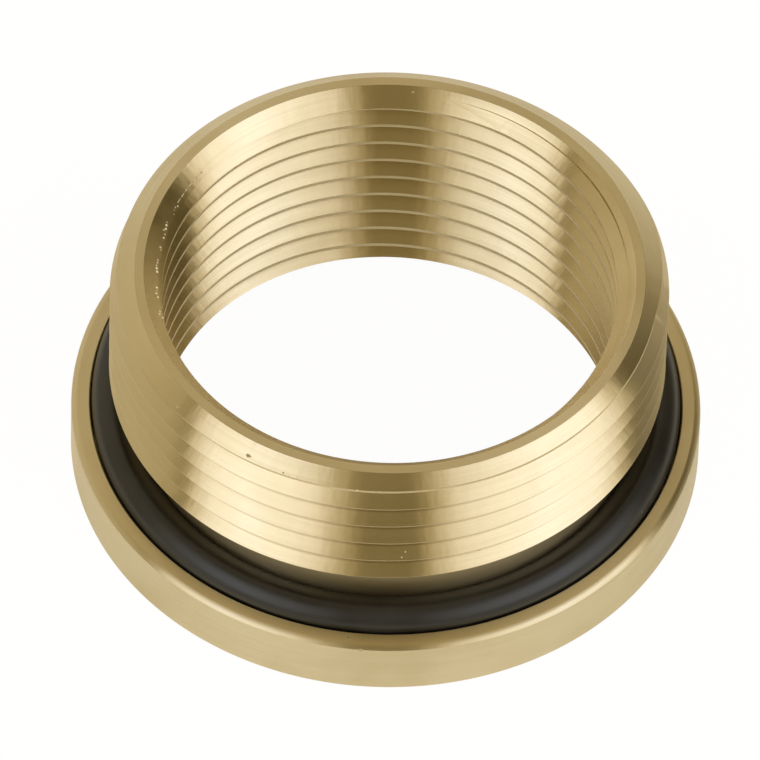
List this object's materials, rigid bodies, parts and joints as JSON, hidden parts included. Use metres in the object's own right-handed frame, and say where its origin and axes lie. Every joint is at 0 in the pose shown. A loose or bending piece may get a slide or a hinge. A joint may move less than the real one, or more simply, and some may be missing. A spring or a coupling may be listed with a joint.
{
  "type": "thread adapter",
  "caption": "Short flanged brass pipe adapter with a male thread outside, a smaller female thread inside and a rubber ring seated in the flange to seal the joint.",
  "frame": {"origin": "centre of the flange's flat underside, on the axis of the bore", "axes": "+Z along the bore from the flange towards the threaded end; the threads start in no preferred direction, so X and Y are free"},
  "size_m": [0.0542, 0.0542, 0.0227],
  "materials": {
    "brass": "satin, turned",
    "seal_rubber": "matte black"
  },
  "bodies": {
    "root": {"adapter_body": "brass", "o_ring": "seal_rubber"}
  },
  "joints": []
}
